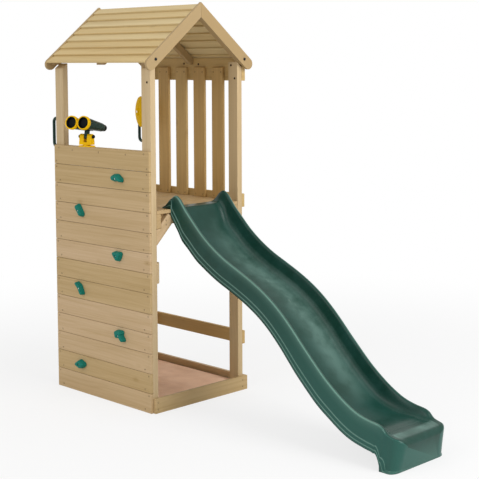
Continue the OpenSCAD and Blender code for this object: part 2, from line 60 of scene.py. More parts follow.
# The tower's own middle, half width and half depth, from its posts
CORNER_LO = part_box("post_front_left")[0]
CORNER_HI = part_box("post_back_right")[1]
TOWER = Vector(((CORNER_LO.x + CORNER_HI.x) / 2, (CORNER_LO.y + CORNER_HI.y) / 2, 0))
HALF_W = (CORNER_HI.x - CORNER_LO.x) / 2 / MM
HALF_D = (CORNER_HI.y - CORNER_LO.y) / 2 / MM
WALL_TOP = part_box("climbing_wall_boards")[1].z / MM
DECK_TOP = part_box("deck_boards")[1].z / MM
BOARD_COUNT = 13
WALL_FACE = -HALF_W - 16


def spot(x, y, z):
    """A place in the row frame from millimetres about the tower's middle."""
    return TOWER + Vector((x, y, z)) * MM


# Shader expressions


class Value:
    """A value socket that takes part in Python arithmetic by adding Math nodes."""

    def __init__(self, shade, socket):
        self.shade = shade
        self.socket = socket

    def _maths(self, operation, first, second=None):
        values = {0: first} if second is None else {0: first, 1: second}
        return self.shade.value("ShaderNodeMath", {"operation": operation}, values)

    def __add__(self, other):
        return self._maths("ADD", self, other)

    def __radd__(self, other):
        return self._maths("ADD", other, self)

    def __sub__(self, other):
        return self._maths("SUBTRACT", self, other)

    def __rsub__(self, other):
        return self._maths("SUBTRACT", other, self)

    def __mul__(self, other):
        return self._maths("MULTIPLY", self, other)

    def __rmul__(self, other):
        return self._maths("MULTIPLY", other, self)

    def sine(self):
        return self._maths("SINE", self)

    def most(self, other):
        return self._maths("MAXIMUM", self, other)

    def step(self, low, high):
        """0 below low and 1 above high, with a smooth way between them."""
        return self.shade.value(
            "ShaderNodeMapRange",
            {"interpolation_type": "SMOOTHSTEP"},
            {"Value": self, "From Min": low, "From Max": high},
        )


class Shade:
    """One material or world, with the few calls that its nodes are made by."""

    def __init__(self, name, world=False):
        self.material = (bpy.data.worlds if world else bpy.data.materials).new(name)
        self.material.use_nodes = True
        self.tree = self.material.node_tree
        self.shader = self.tree.nodes.get("Principled BSDF")

    def node(self, kind, settings=None, values=None):
        made = self.tree.nodes.new(kind)
        for key, setting in (settings or {}).items():
            setattr(made, key, setting)
        for key, value in (values or {}).items():
            self.feed(made.inputs[key], value)
        return made

    def feed(self, socket, value):
        if isinstance(value, Value):
            self.tree.links.new(value.socket, socket)
        elif isinstance(value, bpy.types.NodeSocket):
            self.tree.links.new(value, socket)
        elif isinstance(value, tuple) and len(value) == 3 and socket.type == "RGBA":
            socket.default_value = (*value, 1)
        else:
            socket.default_value = value

    def value(self, kind, settings=None, values=None, output=0):
        return Value(self, self.node(kind, settings, values).outputs[output])

    def mix(self, factor, first, second, blend="MIX"):
        settings = {"data_type": "RGBA", "blend_type": blend}
        return self.node("ShaderNodeMix", settings, {0: factor, 6: first, 7: second}).outputs[2]

    def scaled(self, vector, scale):
        settings = {"operation": "MULTIPLY"}
        return self.node("ShaderNodeVectorMath", settings, {0: vector, 1: scale}).outputs[0]

    def noise(self, vector, scale=1.0, detail=2.0, roughness=0.5, distortion=0.0):
        values = {
            "Vector": vector,
            "Scale": scale,
            "Detail": detail,
            "Roughness": roughness,
            "Distortion": distortion,
        }
        return self.value("ShaderNodeTexNoise", {}, values)

    def place(self):
        return self.node("ShaderNodeTexCoord").outputs["Object"]

    def attribute(self, name, output="Fac"):
        return self.node("ShaderNodeAttribute", {"attribute_name": name}).outputs[output]

    def bump(self, height, strength, distance):
        values = {"Height": height, "Strength": strength, "Distance": distance}
        made = self.node("ShaderNodeBump", {}, values)
        self.feed(self.shader.inputs["Normal"], made.outputs[0])

    def finish(self, **values):
        for key, value in values.items():
            self.feed(self.shader.inputs[key.replace("_", " ").title()], value)
        return self.material


def srgb(text):
    """The scene-linear colour of a six-figure hex colour."""
    parts = [int(text[i : i + 2], 16) / 255 for i in (0, 2, 4)]
    return tuple(c / 12.92 if c <= 0.04045 else ((c + 0.055) / 1.055) ** 2.4 for c in parts)


def timber_material(name, pale, dark, tint, knots=0.3):
    """Planed softwood that follows each board's own grain attribute."""
    s = Shade(name)
    grain = s.attribute("grain", "Vector")
    board = Value(s, s.attribute("board"))
    drift = s.noise(s.scaled(grain, (0.9, 7, 7)), detail=2)
    streak = s.noise(s.scaled(grain, (3.0, 170, 170)), detail=3, roughness=0.6)
    band = s.noise(s.scaled(grain, (1.1, 34, 34)), detail=2)
    across = Value(s, s.node("ShaderNodeSeparateXYZ", {}, {0: grain}).outputs[1])
    rings = ((across * 300 + drift * 46).sine() * 0.5 + 0.5).step(0.25, 1.0)
    cells = s.node(
        "ShaderNodeTexVoronoi",
        {"feature": "F1"},
        {"Vector": s.scaled(grain, (4.5, 9.0, 3.0)), "Scale": 1.0, "Randomness": 1.0},
    )
    reach = Value(s, cells.outputs["Distance"])
    chance = Value(s, s.node("ShaderNodeSeparateColor", {}, {0: cells.outputs["Color"]}).outputs[0])
    has_knot = chance.step(0.99 - knots, 1.01 - knots)
    knot = (1 - reach.step(0.02, 0.05)) * has_knot
    halo = (1 - reach.step(0.04, 0.2)) * has_knot
    tone = streak * 0.4 + band * 0.5 + rings * 0.06 + halo * 0.2
    body = s.mix(tone.step(0.2, 1.0), pale, dark)
    tinted = s.mix(board.step(0.1, 0.9) * 0.7, body, s.mix(1.0, body, tint, "MULTIPLY"))
    aged = s.mix(drift.step(0.5, 0.8) * 0.25, tinted, dark)
    colour = s.mix(knot * 0.6, aged, srgb("7A5836"))
    s.bump(streak * 0.5 - knot * 0.5, 0.2, 0.0005)
    return s.finish(base_color=colour, roughness=0.6 + streak * 0.16)


def plastic_material(name, colour, rough=0.32, mottle=0.3, grit=0.12, gloss=0.25):
    """Moulded plastic with faint unevenness in its gloss and colour."""
    s = Shade(name)
    place = s.place()
    cloud = s.noise(place, scale=14.0, detail=3)
    fine = s.noise(place, scale=220.0, detail=2)
    lighter = tuple(min(1.0, c * 1.3 + 0.004) for c in colour)
    s.bump(fine + cloud * 2.0, grit, 0.0006)
    s.shader.inputs["Specular IOR Level"].default_value = gloss
    return s.finish(
        base_color=s.mix(cloud.step(0.35, 0.75) * mottle, colour, lighter),
        roughness=rough + fine * 0.08 + cloud * 0.08,
    )


def metal_material(name, colour, rough):
    """Zinc or blackened steel with a little unevenness."""
    s = Shade(name)
    cloud = s.noise(s.place(), scale=300.0, detail=2)
    return s.finish(base_color=colour, metallic=0.9, roughness=rough + cloud * 0.15)


# Mesh helpers


def new_object(name, bm, material, body="tower", angle=35.0):
    """A finished piece at the origin, riding on a body of the frame, with edges past the angle sharp."""
    mesh = bpy.data.meshes.new(name)
    for face in bm.faces:
        face.smooth = True
    for edge in bm.edges:
        edge.smooth = edge.calc_face_angle(0) < math.radians(angle)
    bm.to_mesh(mesh)
    bm.free()
    mesh.materials.append(material)
    made = bpy.data.objects.new(name, mesh)
    bpy.context.scene.collection.objects.link(made)
    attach(made, body)
    return made


def add_modifier(piece, kind, **settings):
    made = piece.modifiers.new(kind.title(), kind)
    for key, setting in settings.items():
        setattr(made, key, setting)


def cad_copy(node):
    """A merged copy of a CAD node, with flat faces whole again."""
    bm = bmesh.new()
    bm.from_mesh(NODES[node].data)
    bmesh.ops.remove_doubles(bm, verts=bm.verts, dist=1e-5)
    bmesh.ops.dissolve_limit(bm, angle_limit=math.radians(1), verts=bm.verts, edges=bm.edges)
    return bm


def islands(bm):
    """The loose boards of a mesh, as lists of vertices."""
    seen = set()
    found = []
    for start in bm.verts:
        if start in seen:
            continue
        group, todo = [], [start]
        seen.add(start)
        while todo:
            vert = todo.pop()
            group.append(vert)
            for edge in vert.link_edges:
                other = edge.other_vert(vert)
                if other not in seen:
                    seen.add(other)
                    todo.append(other)
        found.append(group)
    return found


def bevel(bm, edges, offset, segments=2):
    bmesh.ops.bevel(
        bm,
        geom=edges,
        offset=offset,
        offset_type="OFFSET",
        segments=segments,
        profile=0.5,
        affect="EDGES",
        clamp_overlap=True,
        material=-1,
    )


def sharp_edges(bm, angle=20):
    return [e for e in bm.edges if e.calc_face_angle(0) > math.radians(angle)]


def write_grain(bm, seed):
    """Gives each board its own grain frame: x along it, y across it and z through it."""
    dice = random.Random(seed)
    grain = bm.verts.layers.float_vector.new("grain")
    board = bm.verts.layers.float.new("board")
    for group in islands(bm):
        edges = {e for v in group for e in v.link_edges}
        longest = max(edges, key=lambda e: e.calc_length())
        along = (longest.verts[1].co - longest.verts[0].co).normalized()
        faces = {f for v in group for f in v.link_faces}
        side = max(faces, key=lambda f: f.calc_area() * (1 - abs(f.normal.dot(along))))
        through = side.normal.normalized()
        across = along.cross(through)
        origin = sum((v.co for v in group), Vector()) / len(group)
        shift = Vector((dice.uniform(0, 40), dice.uniform(0, 40), dice.uniform(0, 40)))
        tone = dice.random()
        for v in group:
            p = v.co - origin
            v[grain] = Vector((p.dot(along), p.dot(across), p.dot(through))) + shift
            v[board] = tone


def eased_timber(node, material, edge, seed):
    """A CAD timber node with its edges eased and grain along each board."""
    bm = cad_copy(node)
    bevel(bm, sharp_edges(bm), edge)
    write_grain(bm, seed)
    made = new_object(node + "_timber", bm, material, angle=50)
    add_modifier(made, "WEIGHTED_NORMAL", keep_sharp=True, weight=100)
    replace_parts(made, node)
    return made


def eased_plastic(node, name, material, edge, body="tower", segments=3):
    """A CAD fitting with its edges rounded as a moulding's are."""
    bm = cad_copy(node)
    bevel(bm, sharp_edges(bm, 30), edge, segments)
    made = new_object(name, bm, material, body, angle=50)
    add_modifier(made, "WEIGHTED_NORMAL", keep_sharp=True, weight=100)
    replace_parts(made, node)
    return made


def revolve(profile, steps=48, closed=False):
    """A bmesh turned about the local X axis from (x, radius) points in millimetres."""
    bm = bmesh.new()
    verts = [bm.verts.new((x * MM, 0, r * MM)) for x, r in profile]
    pairs = list(zip(verts, verts[1:])) + ([(verts[-1], verts[0])] if closed else [])
    edges = [bm.edges.new(pair) for pair in pairs]
    bmesh.ops.spin(
        bm,
        geom=verts + edges,
        cent=(0, 0, 0),
        axis=(1, 0, 0),
        angle=math.tau,
        steps=steps,
        use_merge=True,
    )
    bmesh.ops.remove_doubles(bm, verts=bm.verts, dist=1e-6)
    bmesh.ops.recalc_face_normals(bm, faces=bm.faces)
    return bm


def block(size, place, edge, segments=3):
    """A bmesh box, in millimetres, about a place, with its edges rounded."""
    bm = bmesh.new()
    bmesh.ops.create_cube(bm, size=MM)
    bmesh.ops.scale(bm, vec=size, verts=bm.verts)
    bmesh.ops.translate(bm, vec=Vector(place) * MM, verts=bm.verts)
    bevel(bm, list(bm.edges), edge * MM, segments)
    return bm


def join(*parts):
    """Puts several bmeshes into one and frees them."""
    whole = bmesh.new()
    for bm in parts:
        mesh = bpy.data.meshes.new("part")
        bm.to_mesh(mesh)
        bm.free()
        whole.from_mesh(mesh)
        bpy.data.meshes.remove(mesh)
    return whole


def moved(bm, matrix):
    bmesh.ops.transform(bm, matrix=matrix, verts=bm.verts)
    return bm


def facing(place, direction):
    """The transform that stands local X along a direction at a place."""
    turn = Vector(direction).to_track_quat("X", "Z").to_matrix().to_4x4()
    return Matrix.Translation(place) @ turn


def heads(name, profile, places, material, steps=16):
    """Screw or bolt heads of one profile at (place, direction) pairs, as one piece."""
    parts = [moved(revolve(profile, steps), facing(place, way)) for place, way in places]
    return new_object(name, join(*parts), material, angle=40)


# Properties


def colour_property(name, description, text):
    return bpy.props.FloatVectorProperty(
        name=name, description=description, size=3, subtype="COLOR", min=0, max=1,
        default=srgb(text),
    )


class TimberProperties(bpy.types.PropertyGroup):
    edge: bpy.props.FloatProperty(
        name="Eased edge",
        description="Width of the eased edges of the posts and rails",
        default=0.003,
        unit="LENGTH",
    )
    board_edge: bpy.props.FloatProperty(
        name="Board edge",
        description="Width of the eased edges of the wall and roof boards",
        default=0.0015,
        unit="LENGTH",
    )
    post_pale: colour_property("Post, pale", "Pale wood of the posts", "C9B18A")
    post_dark: colour_property("Post, dark", "Late wood of the posts", "AC9266")
    wall_pale: colour_property("Wall, pale", "Pale wood of the wall boards", "CAAE8A")
    wall_dark: colour_property("Wall, dark", "Late wood of the wall boards", "A88A58")
    rail_pale: colour_property("Rail, pale", "Pale wood of the slats and side rails", "C8AA70")
    rail_dark: colour_property("Rail, dark", "Late wood of the slats and side rails", "A68852")
    roof_pale: colour_property("Roof, pale", "Pale wood of the roof boards", "D9C494")
    roof_dark: colour_property("Roof, dark", "Late wood of the roof boards", "B8A070")


class PlasticProperties(bpy.types.PropertyGroup):
    slide: colour_property("Slide", "Colour of the slide", "0C372C")
    hold: colour_property("Holds", "Colour of the climbing holds", "006E60")
    green: colour_property("Fittings", "Dark green of the handles and binoculars", "0C2E26")
    yellow: colour_property("Yellow", "Yellow of the wheel, yoke and rings", "EAB800")
    black: colour_property("Black", "Black of the lenses, eyepieces and knobs", "0E1012")
    wall: bpy.props.FloatProperty(
        name="Slide wall", description="Thickness of the slide's wall", default=0.005,
        unit="LENGTH",
    )
    handle_bar: bpy.props.FloatProperty(
        name="Handle bar", description="Radius of the handles' round bar", default=0.0098,
        unit="LENGTH",
    )


class StageProperties(bpy.types.PropertyGroup):
    floor: bpy.props.FloatVectorProperty(
        name="Floor", description="Colour of the floor", size=3, subtype="COLOR",
        default=(0.8, 0.8, 0.8),
    )
    key: bpy.props.FloatProperty(
        name="Key lamp", description="Power of the lamp on the slide side", default=420,
        unit="POWER",
    )
    side: bpy.props.FloatProperty(
        name="Side lamp", description="Power of the lamp on the wall side", default=150,
        unit="POWER",
    )
    sky: bpy.props.FloatProperty(
        name="Sky", description="Strength of the even light from all around", default=0.62,
    )
    lens: bpy.props.FloatProperty(
        name="Lens", description="Focal length on a 36 mm sensor", default=88.7,
        unit="CAMERA",
    )
    camera: bpy.props.FloatVectorProperty(
        name="Camera", description="Camera place from the tower's middle", size=3,
        subtype="TRANSLATION", unit="LENGTH", default=(-4.8424, -5.6729, 2.0796),
    )
    yaw: bpy.props.FloatProperty(
        name="Yaw", description="Camera heading from +Y towards +X",
        default=math.radians(44.9), subtype="ANGLE",
    )
    pitch: bpy.props.FloatProperty(
        name="Pitch", description="How far the camera looks down",
        default=math.radians(5.7), subtype="ANGLE",
    )
    roll: bpy.props.FloatProperty(
        name="Roll", description="Camera roll", default=math.radians(-0.2), subtype="ANGLE",
    )
    shift: bpy.props.FloatProperty(
        name="Shift", description="Vertical lens shift of the photograph", default=-0.125,
    )


# Stage


class TowerStage(bpy.types.Operator):
    """Makes the camera, the lamps, the pale floor and the white surroundings"""

    bl_idname = "play_tower.stage"
    bl_label = "Camera, light and floor"

    def camera(self, p):
        forward = Vector((
            math.sin(p.yaw) * math.cos(p.pitch),
            math.cos(p.yaw) * math.cos(p.pitch),
            -math.sin(p.pitch),
        ))
        right = Vector((math.cos(p.yaw), -math.sin(p.yaw), 0))
        up = right.cross(forward)
        turned_right = right * math.cos(p.roll) + up * math.sin(p.roll)
        turned_up = up * math.cos(p.roll) - right * math.sin(p.roll)
        camera = bpy.data.objects.new("photo camera", bpy.data.cameras.new("photo camera"))
        camera.data.sensor_width = SENSOR
        camera.data.lens = p.lens
        camera.data.shift_y = p.shift
        turn = Matrix((turned_right, turned_up, -forward)).transposed().to_4x4()
        camera.matrix_world = Matrix.Translation(TOWER + Vector(p.camera)) @ turn
        return camera

    def lamp(self, name, place, size, power):
        data = bpy.data.lights.new(name, "AREA")
        data.size = size
        data.energy = power
        made = bpy.data.objects.new(name, data)
        turn = (Vector((0, 0, 1)) - place).to_track_quat("-Z", "Y").to_matrix().to_4x4()
        made.matrix_world = Matrix.Translation(place) @ turn
        bpy.context.scene.collection.objects.link(made)

    def execute(self, context):
        p = context.scene.stage
        camera = self.camera(p)
        context.scene.collection.objects.link(camera)
        bpy.context.scene.camera = camera
        bpy.context.scene.view_settings.view_transform = "Standard"
        self.lamp("key light", Vector((0.8, -7.0, 5.0)), 4.5, p.key)
        self.lamp("side light", Vector((-7.0, 0.0, 5.0)), 5.0, p.side)

        s = Shade("studio", world=True)
        path = s.node("ShaderNodeLightPath")
        seen = Value(s, path.outputs["Is Camera Ray"]).most(
            Value(s, path.outputs["Is Glossy Ray"])
        ).most(Value(s, path.outputs["Is Transmission Ray"]))
        s.feed(s.tree.nodes["Background"].inputs["Color"], (1.0, 1.0, 1.0))
        s.feed(s.tree.nodes["Background"].inputs["Strength"], seen * (1 - p.sky) + p.sky)
        context.scene.world = s.material

        s = Shade("floor")
        s.finish(base_color=tuple(p.floor), roughness=0.9)
        path = s.node("ShaderNodeLightPath")
        seen = Value(s, path.outputs["Is Camera Ray"]).most(
            Value(s, path.outputs["Is Glossy Ray"])
        ).most(Value(s, path.outputs["Is Transmission Ray"]))
        far = Value(s, s.node(
            "ShaderNodeVectorMath", {"operation": "LENGTH"}, {0: s.place()}
        ).outputs["Value"])
        white = s.node("ShaderNodeEmission", {}, {"Color": (1.0, 1.0, 1.0), "Strength": 1.0})
        blend = s.node("ShaderNodeMixShader", {}, {0: seen * (far.step(1.6, 5.0) * 0.25 + 0.75)})
        s.feed(blend.inputs[1], s.shader.outputs[0])
        s.feed(blend.inputs[2], white.outputs[0])
        s.feed(s.tree.nodes["Material Output"].inputs["Surface"], blend.outputs[0])
        bm = bmesh.new()
        bmesh.ops.create_grid(bm, x_segments=1, y_segments=1, size=60)
        floor = new_object("floor", bm, s.material)
        return {"FINISHED"}


# Timber


class TowerPosts(bpy.types.Operator):
    """Builds the posts, the rails behind the wall and the ladder rungs"""

    bl_idname = "play_tower.posts"
    bl_label = "Posts and rungs"

    def execute(self, context):
        p = context.scene.timber
        wood = timber_material(
            "post timber", tuple(p.post_pale), tuple(p.post_dark), srgb("F6EEDC")
        )
        names = (
            "post_front_left", "post_front_right", "post_back_left", "post_back_right",
            "wall_top_rail", "wall_mid_rail", "ladder_rungs",
        )
        for seed, node in enumerate(names):
            eased_timber(node, wood, p.edge, 10 + seed)
        return {"FINISHED"}


class TowerDeck(bpy.types.Operator):
    """Builds the deck boards with their joists, beams and knee braces"""

    bl_idname = "play_tower.deck"
    bl_label = "Deck"

    def execute(self, context):
        p = context.scene.timber
        wood = timber_material(
            "deck timber", tuple(p.wall_pale), tuple(p.rail_dark), srgb("E4DCB8"), 0.2
        )
        names = (
            "deck_boards", "deck_joists", "deck_beams", "front_knee_braces", "back_knee_braces",
        )
        for seed, node in enumerate(names):
            eased_timber(node, wood, p.edge, 30 + seed)
        return {"FINISHED"}


class TowerWall(bpy.types.Operator):
    """Builds the climbing wall's boards and the boards round the sandpit"""

    bl_idname = "play_tower.wall"
    bl_label = "Wall and sandpit boards"

    def execute(self, context):
        p = context.scene.timber
        wood = timber_material(
            "board timber", tuple(p.wall_pale), tuple(p.wall_dark), srgb("ECEACC"), 0.4
        )
        names = (
            "climbing_wall_boards", "sandpit_front_board", "sandpit_back_board",
            "sandpit_side_board",
        )
        for seed, node in enumerate(names):
            eased_timber(node, wood, p.board_edge, 40 + seed)
        return {"FINISHED"}


class TowerSlats(bpy.types.Operator):
    """Builds the slats and the rails of the other side"""

    bl_idname = "play_tower.slats"
    bl_label = "Slats and side rails"

    def execute(self, context):
        p = context.scene.timber
        wood = timber_material(
            "rail timber", tuple(p.rail_pale), tuple(p.rail_dark), srgb("F4E6D0"), 0.35
        )
        names = (
            "balustrade_slats", "balustrade_top_beam", "balustrade_bottom_rail",
            "lower_side_rail",
        )
        for seed, node in enumerate(names):
            eased_timber(node, wood, p.edge, 60 + seed)
        return {"FINISHED"}


class TowerRoof(bpy.types.Operator):
    """Builds the lapped roof boards, bargeboards, rafters and gussets"""

    bl_idname = "play_tower.roof"
    bl_label = "Roof"

    def execute(self, context):
        p = context.scene.timber
        boards = timber_material(
            "roof timber", tuple(p.roof_pale), tuple(p.roof_dark), srgb("F2E6CC"), 0.2
        )
        # The bargeboards, rafters and gussets take a darker copy of the post wood: painted shade under
        # the roof.
        shaded_frames = timber_material(
            "gable timber", tuple(p.post_dark), srgb("A68E6A"), srgb("F6EEDC"), 0.2
        )
        names = (
            ("roof_boards_left", boards), ("roof_boards_right", boards),
            ("front_bargeboards", shaded_frames), ("back_bargeboards", shaded_frames),
            ("roof_rafters", shaded_frames), ("gable_gussets", shaded_frames),
        )
        for seed, (node, wood) in enumerate(names):
            eased_timber(node, wood, p.board_edge, 70 + seed)
        return {"FINISHED"}


class TowerSand(bpy.types.Operator):
    """Builds the sand with a gently uneven top"""

    bl_idname = "play_tower.sand"
    bl_label = "Sand"

    def execute(self, context):
        s = Shade("sand")
        place = s.place()
        grit = s.noise(place, scale=420.0, detail=2)
        cloud = s.noise(place, scale=9.0, detail=3)
        s.bump(grit + cloud * 3, 0.5, 0.002)
        sand = s.finish(
            base_color=s.mix(
                (grit * 0.4 + cloud * 0.6).step(0.3, 0.7), srgb("FFD6B6"), srgb("ECC0A0")
            ),
            roughness=0.95,
        )
        lo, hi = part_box("sand_fill")
        bm = bmesh.new()
        bmesh.ops.create_grid(bm, x_segments=50, y_segments=60, size=0.5)
        size = hi - lo
        middle = (hi + lo) / 2
        rim = 0.96
        for v in bm.verts:
            mound = noise.noise(Vector((v.co.x * 3.1, v.co.y * 3.1, 4.0)))
            ripple = noise.noise(Vector((v.co.x * 17, v.co.y * 17, 9.0)))
            inside = min(1.0, (1 - 2 * max(abs(v.co.x), abs(v.co.y))) * 8)
            fall = 0.012 * (1 - inside) + inside * (0.012 * (0.5 - mound) + 0.003 * (0.7 - ripple))
            v.co = Vector((
                middle.x + v.co.x * size.x * rim,
                middle.y + v.co.y * size.y * rim,
                hi.z - max(0.0005, fall),
            ))
        rest = bmesh.ops.extrude_face_region(bm, geom=bm.faces[:])
        for item in rest["geom"]:
            if isinstance(item, bmesh.types.BMVert):
                item.co.z = 0.001
        bmesh.ops.recalc_face_normals(bm, faces=bm.faces)
        made = new_object("sand", bm, sand, angle=60)
        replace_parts(made, "sand_fill")
        return {"FINISHED"}


# Slide


# Millimetres out from the tower's front, and height, along the top of the lip
LIP_LINE = (
    (-90, 1219), (-78, 1220), (-50, 1238), (-20, 1272), (15, 1291), (45, 1278), (75, 1245),
    (110, 1205), (170, 1147), (240, 1082), (330, 1016), (430, 958), (540, 908), (640, 862),
    (730, 814), (810, 762), (885, 702), (950, 642), (1015, 576), (1090, 502), (1175, 422),
    (1250, 362), (1330, 308), (1410, 267), (1485, 246), (1550, 236), (1578, 224), (1605, 198),
    (1630, 187), (1670, 179), (1710, 171), (1750, 168),
)
# Depths under the lip, square to the run, of the bed and of the skirt's edge
BED_LINE = (
    (60, 98), (150, 100), (1250, 98), (1420, 70), (1500, 52), (1550, 45), (1578, 34),
    (1605, 11), (1630, 1), (1750, 1),
)
SKIRT_LINE = ((60, 126), (150, 128), (1250, 132), (1400, 140), (1500, 146), (1750, 146))
SLIDE_BACK = -78
SLIDE_REACH = 1699
FOOT_BACK = 1578
NOSE_R = 60
EDGE_R = 32
NOSE_LEAN = 32
NOSE_HEIGHT = 160


def piece_of(points, x):
    i = 0
    while i < len(points) - 2 and x >= points[i + 1][0]:
        i += 1
    return i


def slope_at(points, i):
    a, b = points[max(0, i - 1)], points[min(len(points) - 1, i + 1)]
    return (b[1] - a[1]) / (b[0] - a[0])


def curve(points, x):
    """A smooth curve through the points."""
    i = piece_of(points, x)
    h = points[i + 1][0] - points[i][0]
    u = (x - points[i][0]) / h
    a, b = slope_at(points, i) * h, slope_at(points, i + 1) * h
    rise = 3 * u * u - 2 * u ** 3
    return (
        points[i][1] * (1 - rise) + points[i + 1][1] * rise
        + a * (u - 2 * u * u + u ** 3) + b * (u ** 3 - u * u)
    )


def straight(points, x):
    i = piece_of(points, x)
    (x0, y0), (x1, y1) = points[i], points[i + 1]
    return y0 + (y1 - y0) * (x - x0) / (x1 - x0)


def stretch(x):
    slope = (curve(LIP_LINE, x + 45) - curve(LIP_LINE, x - 45)) / 90
    return math.hypot(1, slope)


def nose_in(x, r):
    """How far the nose has rounded in at x, for a round of radius r."""
    u = min(1.0, max(0.0, (x - SLIDE_REACH + r) / r))
    return r * (1 - math.sqrt(1 - u * u))


def lip_z(x):
    return curve(LIP_LINE, x) - nose_in(x, EDGE_R)


def bed_z(x):
    if x < 60:
        return DECK_TOP + 6 - 85 * max(0.0, (x - 6) / 54) ** 1.4
    return lip_z(x) - straight(BED_LINE, x) * stretch(x)


def skirt_z(x):
    if x >= FOOT_BACK:
        return 0.0
    if x > 1545:
        return 88 - 60 * ((x - 1545) / (FOOT_BACK - 1545)) ** 2
    if x < 1:
        return DECK_TOP
    if x < 70:
        return 1165 - 1.33 * (x - 1)
    return lip_z(x) - straight(SKIRT_LINE, x) * stretch(x)


def rib_z(x, inset, low):
    """Height of a rib that follows the skirt's edge and turns down at the back of the foot."""
    rise = inset * stretch(min(max(x, 70), FOOT_BACK - 1))
    if x < FOOT_BACK:
        return skirt_z(x) + rise
    u = min(1.0, (x - FOOT_BACK) / inset)
    return low + (skirt_z(FOOT_BACK - 1) + rise - low) * math.sqrt(1 - u * u)


def slide_section(x, width, fine):
    """Half of the slide's section at x, from the middle of the bed to the skirt's edge."""
    w = width / 2 - nose_in(x, NOSE_R)
    lip = lip_z(x)
    foot = skirt_z(x)
    bed = min(lip - 3, bed_z(x))
    deep = lip - bed
    e = min(1.0, (lip - foot) / 70)
    k = min(1.0, deep / 60)
    # The third figure of each point is a painted highlight: a pale line along the lip's outer edge and
    # along each of the skirt's two ribs.
    shine = max(0.0, min(1.0, (1600 - x) / 60))
    rib_highlight = 0.6 if x < FOOT_BACK + 40 else 0.2
    high = foot + (rib_z(x, 38, 14) - foot) * e
    low = foot + (rib_z(x, 17, 7) - foot) * e
    soft = (
        (0, bed - 0.5, 0), (w - 150, bed - 0.3, 0), (w - 105, bed + 0.5, 0),
        (w - 84, bed + deep * 0.03, 0), (w - 68, bed + deep * 0.13, 0),
        (w - 57, bed + deep * 0.36, 0), (w - 48, bed + deep * 0.7, 0), (w - 42, lip - 9 * k, 0),
        (w - 36.5, lip - 2 * k, 0), (w - 29, lip, shine * 0.3), (w - 21.5, lip - 3.5 * e, shine),
        (w - 18, lip - 12 * e, shine * 0.3), (w - 14, (lip + high) / 2, 0), (w - 9, high + 5 * e, 0),
    )
    crisp = (
        (w - 8.5, high + 2 * e, 0), (w - 7.5, high, rib_highlight), (w - 4.5, high - 3 * e, rib_highlight),
        (w - 4, high - 5 * e, 0), (w - 4, low + 2 * e, 0), (w - 3.5, low, rib_highlight),
        (w - 0.5, low - 3 * e, rib_highlight), (w, low - 5 * e, 0), (w, foot, 0),
    )
    points = []
    last = len(soft) - 1
    for i in range(last):
        p0, p1, p2, p3 = (soft[min(max(j, 0), last)] for j in range(i - 1, i + 3))
        for step in range(fine):
            t = step / fine
            points.append(tuple(
                0.5 * (
                    2 * b + (c - a) * t + (2 * a - 5 * b + 4 * c - d) * t * t
                    + (3 * b - 3 * c + d - a) * t ** 3
                )
                for a, b, c, d in zip(p0, p1, p2, p3)
            ))
    return points + [soft[last], *crisp]


def slide_stations():
    """The distances out at which the slide's section is drawn, closer together at both ends."""
    run = [-78, -66, -54, -42, -30, -20, -10, 0, 2, 10, 20, 30, 40, 50, 60, 70, 85, 100]
    run += [*range(118, 1540, 18), *range(1540, 1640, 6)]
    nose = [SLIDE_REACH - NOSE_R * (1 - math.sin(math.radians(a))) for a in range(0, 91, 6)]
    return sorted({*run, FOOT_BACK - 1, FOOT_BACK, *nose})


